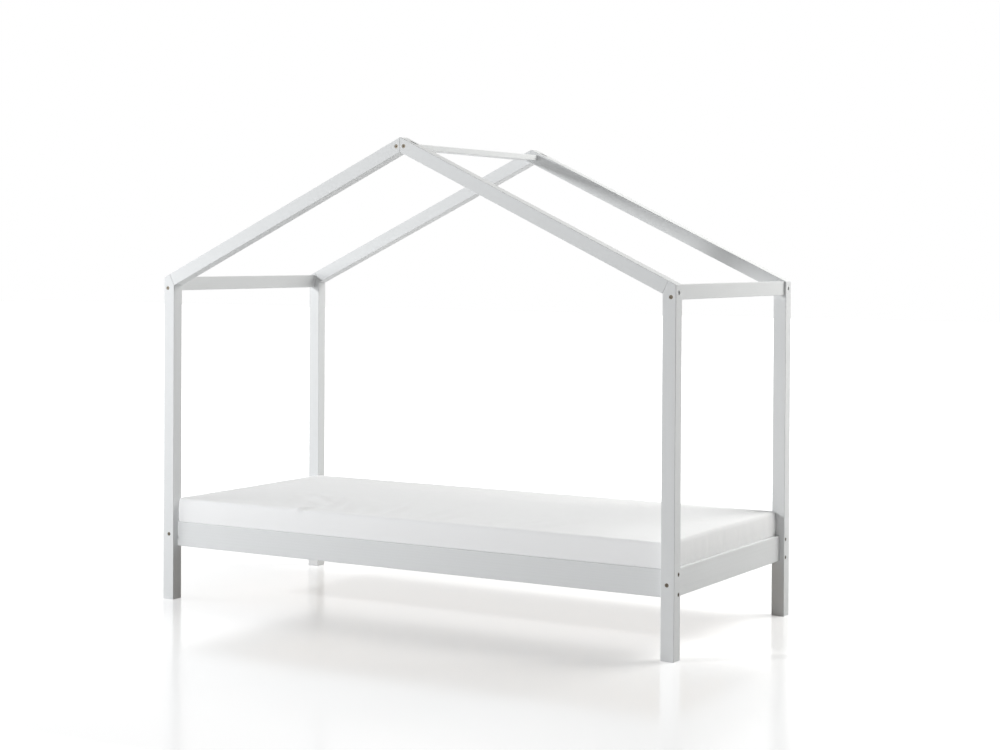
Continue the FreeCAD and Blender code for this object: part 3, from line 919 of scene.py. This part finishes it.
@dataclass(frozen=True)
class CushionForm:
    """A long flat cushion: rounded corners in plan, rolled edges, and a crowned top.

    The form starts as a box whose faces carry a grid. Its outline is rounded in plan first, and
    then its long edges are rolled. The bed's posts press a notch into each corner.
    """

    length: float
    width: float
    bottom: float
    top_edge: float
    crown: float
    corner: float
    top_roll: float
    bottom_roll: float
    side_draw: float
    side_bulge: float
    cell: float
    post_corner: Pair
    side_fullness: float = 0.8
    underside_share: float = 0.6

    @property
    def half(self) -> np.ndarray:
        """Half of the length and half of the width."""
        return np.array([self.length, self.width]) / 2

    @property
    def height(self) -> float:
        """The sides' height, up to where the crown starts."""
        return self.top_edge - self.bottom

    def within(self, inset: float, cell: float) -> "CushionForm":
        """Gives the form that fits inside this one.

        Args:
            inset: the room between the two. The underside has only its share of it.
            cell: the spacing of the smaller form's grid.

        Returns:
            The smaller form.
        """
        return replace(
            self,
            length=self.length - 2 * inset,
            width=self.width - 2 * inset,
            bottom=self.bottom + self.underside_share * inset,
            top_edge=self.top_edge - inset,
            corner=self.corner - inset,
            cell=cell,
            post_corner=(self.post_corner[0] - inset, self.post_corner[1] - inset),
        )

    def lines(self, half: float) -> np.ndarray:
        """Places the grid lines along one side, closer together on its rolls and corners.

        Args:
            half: half of the side's length.

        Returns:
            The lines' places, from -half to half.
        """
        bend = np.linspace(self.top_roll, self.corner, 4)[1:]
        ends = half - np.concatenate([self.top_roll * ROLL_LINES, bend])
        inner = half - self.corner
        count = max(2, round(2 * inner / self.cell))
        middle = np.linspace(-inner, inner, count + 1)[1:-1]
        return np.concatenate([-ends, middle, ends[::-1]])

    def levels(self) -> np.ndarray:
        """Places the grid lines over the height.

        Returns:
            The lines' places, from 0 at the underside to 1 at the top edge.
        """
        turn = ROLL_LINES / self.height
        low, high = turn * self.bottom_roll, turn * self.top_roll
        count = max(2, round(self.height * (1 - low[-1] - high[-1]) / self.cell))
        middle = np.linspace(low[-1], 1 - high[-1], count + 1)[1:-1]
        return np.concatenate([low, middle, 1 - high[::-1]])

    def grid(self) -> tuple[np.ndarray, list[tuple[int, ...]]]:
        """Makes the box's grid.

        Returns:
            The vertices, as x and y in metres and a level from 0 to 1, and the faces, which
            point outwards.
        """
        lines = (self.lines(self.length / 2), self.lines(self.width / 2), self.levels())
        last_x, last_y, last_z = last = [len(places) - 1 for places in lines]
        numbers: dict[tuple[int, ...], int] = {}
        faces: list[tuple[int, ...]] = []

        def square(axis: int, far: bool, first: int, second: int) -> None:
            """Adds one face of the box's grid.

            Args:
                axis: the axis that the face looks along, where X is 0.
                far: whether it is on the side where this axis ends, not where it starts.
                first: its lowest line on the first of the other axes.
                second: its lowest line on the second of them.
            """
            corners = []
            for step in QUAD_STEPS:
                one, other = step[::-1] if far == (axis == 1) else step
                place = [first + one, second + other]
                place.insert(axis, last[axis] if far else 0)
                corners.append(numbers.setdefault(tuple(place), len(numbers)))
            faces.append(tuple(corners))

        for i in range(last_x):
            for j in range(last_y):
                square(2, True, i, j)
                square(2, False, i, j)
        for k in range(last_z):
            for i in range(last_x):
                square(1, False, i, k)
                square(1, True, i, k)
            for j in range(last_y):
                square(0, False, j, k)
                square(0, True, j, k)
        rows = [[places[i] for places, i in zip(lines, place)] for place in numbers]
        return np.array(rows), faces

    def shape(self, grid: np.ndarray) -> np.ndarray:
        """Rounds the box.

        Args:
            grid: a row for each vertex, with x and y in metres and a level from 0 to 1.

        Returns:
            The rounded form's vertices, in metres.
        """
        half, height, plan = self.half, self.height, grid[:, :2]
        past_core = np.maximum(np.abs(plan) - (half - self.corner), 0)
        farthest = past_core.max(axis=1)
        inset = np.where(farthest > 0, self.corner - farthest, self.corner)
        drop = (1 - grid[:, 2]) * height
        rise = grid[:, 2] * height
        on_top = drop <= rise
        depth = np.where(on_top, drop, rise)
        roll = np.where(on_top, self.top_roll, self.bottom_roll)
        across = np.maximum(roll - inset, 0)
        down = np.maximum(roll - depth, 0)
        reach = np.hypot(across, down)
        rolled = (across > 0) & (down > 0)
        safe = np.where(reach > 0, reach, 1)
        inset = np.where(rolled, roll - roll * across / safe, inset)
        depth = np.where(rolled, roll - roll * down / safe, depth)
        length = np.linalg.norm(past_core, axis=1)
        outward = past_core / np.where(length > 0, length, 1)[:, None]
        core = np.minimum(np.abs(plan), half - self.corner)
        reached = np.where(length > 0, self.corner - inset, 0)[:, None]
        rounded = (core + outward * reached) * np.where(plan < 0, -1, 1)
        share = rounded / half
        bow = 1 - np.abs(share[:, ::-1]) ** 2
        rounded = rounded - share * bow * self.side_draw
        belly = self.side_bulge * np.sin(np.pi * np.clip(grid[:, 2], 0, 1)) ** self.side_fullness
        rounded = rounded + share * np.where(inset < ON_SURFACE, belly, 0)[:, None]
        swell = self.crown * (1 - share[:, 0] ** 4) * (1 - share[:, 1] ** 2)
        level = np.where(on_top, self.top_edge - depth, self.bottom + depth)
        level = level + np.where(on_top & (depth < ON_SURFACE), swell, 0)
        return np.column_stack([self.notched(rounded), level])

    def notched(self, plan: np.ndarray) -> np.ndarray:
        """Presses the posts' inner corners into the outline.

        Args:
            plan: a row of x and y for each vertex.

        Returns:
            The rows, with those that lay in a post moved to its nearer face.
        """
        past = np.abs(plan) - np.array(self.post_corner)
        inside = (past > 0).all(axis=1)
        nearer = past == past.min(axis=1)[:, None]
        return plan - np.sign(plan) * np.where(inside[:, None] & nearer, past, 0)

    def from_edge(self, points: np.ndarray) -> np.ndarray:
        """Gives how far in from the nearest edge of the plan each point lies."""
        return (self.half - np.abs(points[:, :2])).min(axis=1)

    def flat_pattern(self, grid: np.ndarray) -> np.ndarray:
        """Lays the form out flat.

        Args:
            grid: a row for each vertex, with x and y in metres and a level from 0 to 1.

        Returns:
            A row of u along the bed and v across it for each vertex, in metres.
        """
        plan = grid[:, :2]
        on_side = np.abs(plan) > self.half - SIDE_MARGIN
        fall = ((1 - grid[:, 2]) * self.height)[:, None]
        return plan + np.where(on_side, np.sign(plan) * fall, 0)

    def mesh(self, name: str) -> Mesh:
        """Makes the form's closed mesh.

        Args:
            name: the mesh's name.

        Returns:
            The mesh, with its flat pattern as the UV map "cut".
        """
        grid, faces = self.grid()
        mesh = bpy.data.meshes.new(name)
        mesh.from_pydata(self.shape(grid).tolist(), [], faces)
        pattern = self.flat_pattern(grid)
        layer = mesh.uv_layers.new(name="cut")
        corners = np.empty(len(mesh.loops), dtype=int)
        mesh.loops.foreach_get("vertex_index", corners)
        layer.data.foreach_set("uv", pattern[corners].ravel())
        mesh.update()
        return mesh


@dataclass
class Bedding:
    """A foam mattress in its ticking, and the fitted sheet drawn over it."""

    finishes: Finishes
    body: str = "bedding"
    outer: CushionForm = CushionForm(
        length=2.0,
        width=0.912,
        bottom=0.2862,
        top_edge=0.3715,
        crown=0.012,
        corner=0.024,
        top_roll=0.009,
        bottom_roll=0.0006,
        side_draw=0.002,
        side_bulge=0.003,
        cell=0.0155,
        post_corner=(0.9835, 0.4365),
    )
    sheet_room: float = 0.0045
    foam_cell: float = 0.022
    underside: float = 0.004  # what lies less than this above the bottom is the underside
    calm_height: float = 0.01
    calm_blend: float = 0.03
    # The cloth simulation, and how much of it is kept.
    slack: float = 0.025
    pressure: float = 4.0
    cloth_frames: int = 20
    swell_rounds: int = 40
    pucker_cap: float = 0.002
    # The unevenness of the top.
    taut_edge: float = 0.06
    taut_share: float = 0.15
    rumple: float = 0.0009
    rumple_rounds: int = 26
    # The waves along the upper edges.
    scallop: float = 0.000625
    scallop_reach: float = 0.035
    left_share: float = 0.35
    side_share: float = 0.12
    end_waves: tuple[Wave, Wave, Wave] = (Wave(66, 0.9), Wave(11, 2.4), Wave(109, 2.1, 0.6))
    side_waves: tuple[Wave, ...] = (Wave(47, 0.4), Wave(83, 1.7, 0.6))
    # The hem on the underside, and its elastic.
    tuck: float = 0.11
    hem_calm: float = 0.04
    hem_lift: float = 0.0009
    hem_wave: float = 0.0006
    hem_ripple: float = 0.0021
    hem_waves: tuple[Wave, ...] = (Wave(150), Wave(61, 1.3, 0.5))
    elastic_width: float = 0.008
    elastic_thickness: float = 0.0012
    elastic_step: float = 0.006
    folds: tuple[Fold, ...] = (
        Fold((-0.475, -0.52), (-0.420, -0.37), 0.012, 0.0065),
        Fold((-0.445, -0.52), (-0.388, -0.37), 0.012, -0.0060),
        Fold((-0.66, -0.15), (-0.47, -0.24), 0.013, 0.0045),
        Fold((-0.55, -0.19), (-0.36, -0.34), 0.013, 0.0045),
        Fold((-0.64, -0.20), (-0.38, -0.36), 0.016, -0.0030),
        Fold((-0.85, -0.05), (-0.10, -0.20), 0.035, 0.0024),
        Fold((-0.45, 0.05), (0.35, -0.08), 0.040, 0.0022),
        Fold((0.00, -0.26), (0.72, -0.31), 0.028, 0.0024),
        Fold((0.10, 0.12), (0.90, 0.02), 0.034, 0.0022),
        Fold((0.30, -0.12), (0.95, -0.20), 0.030, -0.0018),
        Fold((-0.30, 0.28), (0.60, 0.22), 0.036, 0.0020),
    )

    def build(self) -> None:
        """Makes the mattress and the sheet, and binds the sheet's hem."""
        self.build_mattress()
        self.bind_hem(self.build_sheet())

    def build_mattress(self) -> None:
        """Makes the mattress and dresses it."""
        form = self.outer.within(self.sheet_room, self.foam_cell)
        mattress = new_piece("foam_mattress", form.mesh("foam_mattress"))
        dress(mattress, self.finishes.get("ticking", KnittedTicking().material))
        smooth(mattress)
        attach(mattress, self.body)
        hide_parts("mattress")
        LOG.info("%s: %d faces", mattress.name, len(mattress.data.polygons))

    def build_sheet(self) -> Object:
        """Makes the fitted sheet and dresses it.

        Returns:
            The sheet.
        """
        mesh = self.outer.mesh("cotton_sheet")
        points, outward = rows_of(mesh, "co"), rows_of(mesh, "normal")
        above = (points[:, 2] - self.outer.bottom - self.calm_height) / self.calm_blend
        folded = sum(fold.lift(points[:, :2]) for fold in self.folds)
        off_edge = np.clip(self.outer.from_edge(points) / self.taut_edge, self.taut_share, 1)
        lift = (self.puckers(mesh) + self.rumples(mesh)) * off_edge
        lift = lift + self.scallops(points) + folded * np.clip(outward[:, 2], 0, 1)
        points = points + outward * (lift * np.clip(above, 0, 1))[:, None]
        mesh.vertices.foreach_set("co", self.gather_hem(points).ravel())
        mesh.update()
        self.open_underside(mesh)
        sheet = new_piece("cotton_sheet", mesh)
        even = sheet.modifiers.new("even", "SUBSURF")
        even.levels = even.render_levels = 1
        apply_modifiers(sheet)
        dress(sheet, self.finishes.get("jersey", CottonJersey().material))
        smooth(sheet)
        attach(sheet, self.body)
        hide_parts("fitted_sheet")
        LOG.info("%s: %d faces", sheet.name, len(sheet.data.polygons))
        return sheet

    def rumples(self, mesh: Mesh) -> np.ndarray:
        """Gives the slight, broad unevenness of cloth that was smoothed by hand.

        Args:
            mesh: the closed form that the sheet is cut from.

        Returns:
            How far each vertex lies outside the form.
        """
        chance = np.random.default_rng(11).normal(size=len(mesh.vertices))
        broad = spread_out(mesh, chance, self.rumple_rounds)
        return broad / np.abs(broad).max() * self.rumple

    def scallops(self, points: np.ndarray) -> np.ndarray:
        """Gives the short waves along the upper edges, deepest at the right end.

        Args:
            points: the form's vertices.

        Returns:
            How far each vertex lies outside the form.
        """
        half_x, half_y = self.outer.half
        along, across = points[:, 0], points[:, 1]
        wave, beat, ripple = self.end_waves
        end = wave.at(across) * beat.at(across) + ripple.at(across)
        side = sum(wave.at(along) for wave in self.side_waves)
        right = np.exp(-(half_x - along) / self.scallop_reach) * end
        left = np.exp(-(half_x + along) / self.scallop_reach) * end * self.left_share
        sides = np.exp(-(half_y - np.abs(across)) / self.scallop_reach) * side * self.side_share
        return self.scallop * (right + left + sides)

    def puckers(self, mesh: Mesh) -> np.ndarray:
        """Blows the slack sheet up as cloth, and keeps the puckers that this makes in it.

        Args:
            mesh: the closed form that the sheet is cut from.

        Returns:
            How far each vertex lies outside the form, with the even swelling taken off.
        """
        rest = rows_of(mesh, "co")
        trial = new_piece("cloth_trial", mesh.copy())
        held = trial.vertex_groups.new(name="held")
        under = np.flatnonzero(rest[:, 2] < self.outer.bottom + self.underside)
        held.add(under.tolist(), 1.0, "REPLACE")
        cloth = trial.modifiers.new("cloth", "CLOTH")
        settings = cloth.settings
        settings.quality = 6
        settings.mass = 0.3
        settings.tension_stiffness = settings.compression_stiffness = 20.0
        settings.shear_stiffness = 8.0
        settings.bending_stiffness = 0.6
        settings.shrink_min = -self.slack
        settings.use_pressure = True
        settings.uniform_pressure_force = self.pressure
        settings.vertex_group_mass = "held"
        settings.effector_weights.gravity = 0.0
        cloth.collision_settings.use_collision = False
        scene = bpy.context.scene
        for frame in range(1, self.cloth_frames + 1):
            scene.frame_set(frame)
        graph = bpy.context.evaluated_depsgraph_get()
        blown = rows_of(trial.evaluated_get(graph).data, "co")
        bpy.data.objects.remove(trial)
        scene.frame_set(1)
        lift = np.einsum("ij,ij->i", blown - rest, rows_of(mesh, "normal"))
        LOG.info("cloth: moved %.1f to %.1f mm", lift.min() * 1000, lift.max() * 1000)
        puckers = lift - spread_out(mesh, lift, self.swell_rounds)
        return np.clip(puckers, -self.pucker_cap, self.pucker_cap)

    def gather_hem(self, points: np.ndarray) -> np.ndarray:
        """Ripples the underside where the elastic hem draws it together.

        Args:
            points: the sheet's vertices.

        Returns:
            The vertices with the ripple in their hem.
        """
        form = self.outer
        under = points[:, 2] < form.bottom + HEM_MARGIN
        inset = (form.from_edge(points) - self.hem_calm) / (self.tuck - self.hem_calm)
        pull = np.where(under, np.clip(inset, 0, 1), 0)
        turn = np.arctan2(points[:, 1] * form.length / form.width, points[:, 0])
        wave = sum(wave.at(turn) for wave in self.hem_waves)
        lifted = points.copy()
        lifted[:, 2] += pull * (self.hem_lift + self.hem_wave * wave)
        lifted[:, :2] *= 1 + (pull * wave * self.hem_ripple)[:, None]
        return lifted

    def open_underside(self, mesh: Mesh) -> None:
        """Cuts the middle out of the sheet's underside, inside its tucked hem.

        Args:
            mesh: the sheet's closed mesh.
        """
        work = bmesh.new()
        work.from_mesh(mesh)
        half_x, half_y = self.outer.half - self.tuck
        low = self.outer.bottom + self.underside
        gone = []
        for face in work.faces:
            middle = face.calc_center_median()
            if middle.z < low and abs(middle.x) < half_x and abs(middle.y) < half_y:
                gone.append(face)
        bmesh.ops.delete(work, geom=gone, context="FACES")
        work.to_mesh(mesh)
        work.free()

    def bind_hem(self, sheet: Object) -> None:
        """Binds the sheet's open edge with its elastic.

        Args:
            sheet: the finished sheet.
        """
        tree = GeometryTree("hem_rule")
        width = tree.size("Binding width", self.elastic_width)
        thickness = tree.size("Binding thickness", self.elastic_thickness)
        step = tree.size("Step", self.elastic_step)
        # An open edge has one face. The product makes its whole number a value to compare.
        faces = tree.maths("MULTIPLY", tree.add("GeometryNodeInputMeshEdgeNeighbors"), 1.0)
        is_open = tree.add("FunctionNodeCompare", {0: faces, 1: 1.5}, operation="LESS_THAN")
        path = tree.add("GeometryNodeMeshToCurve", {"Mesh": tree.given, "Selection": is_open})
        even = tree.add("GeometryNodeResampleCurve", {"Curve": path, "Length": step}, mode="LENGTH")
        flat = tree.add("GeometryNodeSetCurveNormal", {"Curve": even}, mode="Z_UP")
        ring = tree.add("GeometryNodeCurvePrimitiveCircle", {"Resolution": 8, "Radius": 0.5})
        scale = tree.point(width, thickness, 1.0)
        oval = tree.add("GeometryNodeTransform", {"Geometry": ring, "Scale": scale})
        band = tree.add("GeometryNodeCurveToMesh", {"Curve": flat, "Profile Curve": oval})
        thread = self.finishes.get("thread", self.finishes.thread.material)
        binding = tree.make("hem_elastic", band, thread, sheet.data)
        smooth(binding)
        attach(binding, self.body)
        LOG.info("%s: %d faces", binding.name, len(binding.data.polygons))


# ---- the studio ----


@dataclass(frozen=True)
class Softbox:
    """A square area light that points at a place on the bed.

    The pieces named in passes let its light through, and cast no shadow of it.
    """

    name: str
    place: Point
    target: Point
    power: float
    size: float = 1.0
    colour: Colour = (1.0, 1.0, 1.0)
    passes: tuple[str, ...] = ()

    def hang(self) -> None:
        """Hangs the light in the studio."""
        data = bpy.data.lights.new(self.name, "AREA")
        data.shape = "SQUARE"
        data.size = self.size
        data.energy = self.power
        data.color = self.colour
        lamp = new_piece(self.name, data)
        lamp.visible_camera = False
        aim = Vector(self.target) - Vector(self.place)
        turn = aim.to_track_quat("-Z", "Y").to_matrix().to_4x4()
        lamp.matrix_world = Matrix.Translation(self.place) @ turn
        if self.passes:
            through = bpy.data.collections.new(self.name + "_passes")
            for name in self.passes:
                through.objects.link(bpy.data.objects[name])
            for entry in through.collection_objects:
                entry.light_linking.link_state = "EXCLUDE"
            lamp.light_linking.blocker_collection = through


@dataclass
class Studio:
    """Camera, lights, floor and white surroundings."""

    camera_place: Point = (3.60308, -6.07889, 1.29092)
    camera_pitch: float = math.radians(-0.7907)
    camera_yaw: float = math.radians(31.8522)
    camera_roll: float = math.radians(0.2767)
    lens: float = 70.12
    sensor: float = 36.0
    shift: Pair = (0.0689, -0.0970)
    floor_size: float = 60.0
    sky_light: float = 0.12
    softboxes: tuple[Softbox, ...] = (
        Softbox(
            "key_front_left", place=(-8.0, -8.69, 4.86), target=(0.0, 0.0, 0.9), power=824.0,
            colour=(0.99, 1.0, 1.01), passes=("post_front_left",),
        ),
        Softbox(
            "low_front_left", place=(-2.9, -3.0, 0.9), target=(-0.7, -0.4, 0.8), power=8.0,
            colour=(0.98, 1.0, 1.02),
        ),
        Softbox(
            "low_left", place=(-2.6, -1.2, 1.2), target=(-0.9, -0.2, 0.8), power=10.3,
            colour=(0.98, 1.0, 1.02),
        ),
        Softbox("front_fill", place=(0.5, -6.0, 2.5), target=(0.0, 0.0, 0.7), power=17.0, size=2.0),
        Softbox(
            "high_back_right", place=(2.6, 2.2, 3.6), target=(0.4, 0.0, 0.4), power=168.0,
            size=2.4, colour=(1.0, 1.0, 0.98),
        ),
    )

    def build(self) -> None:
        """Sets up the camera, the lights, the floor and the surroundings."""
        self.place_camera()
        for softbox in self.softboxes:
            softbox.hang()
        self.lay_floor()
        self.surround()
        bpy.context.scene.view_settings.view_transform = "Standard"

    def place_camera(self) -> None:
        """Puts the camera at the photograph's viewpoint."""
        data = bpy.data.cameras.new("camera")
        data.lens = self.lens
        data.sensor_width = self.sensor
        data.shift_x, data.shift_y = self.shift
        pitch, yaw, roll = self.camera_pitch, self.camera_yaw, self.camera_roll
        flat = math.cos(pitch)
        ahead = Vector((-math.sin(yaw) * flat, math.cos(yaw) * flat, math.sin(pitch)))
        level = Vector((math.cos(yaw), math.sin(yaw), 0.0))
        up = level.cross(ahead)
        right = math.cos(roll) * level + math.sin(roll) * up
        above = math.cos(roll) * up - math.sin(roll) * level
        turn = Matrix((right, above, -ahead)).transposed().to_4x4()
        camera = new_piece("camera", data)
        camera.matrix_world = Matrix.Translation(self.camera_place) @ turn
        bpy.context.scene.camera = camera

    def lay_floor(self) -> None:
        """Lays the floor."""
        half = self.floor_size / 2
        corners = [(-half, -half, 0), (half, -half, 0), (half, half, 0), (-half, half, 0)]
        mesh = bpy.data.meshes.new("studio_floor")
        mesh.from_pydata(corners, [], [(0, 1, 2, 3)])
        floor = new_piece("studio_floor", mesh)
        dress(floor, StudioFloor().material())

    def surround(self) -> None:
        """Surrounds the bed with even light that the camera sees as white."""
        world = bpy.data.worlds.new("white_surroundings")
        tree = ShaderTree(world)
        strength = tree.spread(tree.seen_directly(), 0.0, 1.0, self.sky_light, 1.0)
        sky = tree.add("ShaderNodeBackground", {"Color": WHITE, "Strength": strength})
        tree.node("ShaderNodeOutputWorld", {"Surface": sky})
        world.cycles.sampling_method = "NONE"
        bpy.context.scene.world = world


def main() -> None:
    """Builds the house frame bed's looks, and the studio round it."""
    logging.basicConfig(level=logging.INFO, format="%(name)s %(message)s")
    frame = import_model()
    finishes = Finishes()
    HouseFrame(frame["nodes"], finishes).build()
    SlatBase(frame["nodes"], finishes).build()
    Bedding(finishes).build()
    Studio().build()


if __name__ == "__main__":
    main()
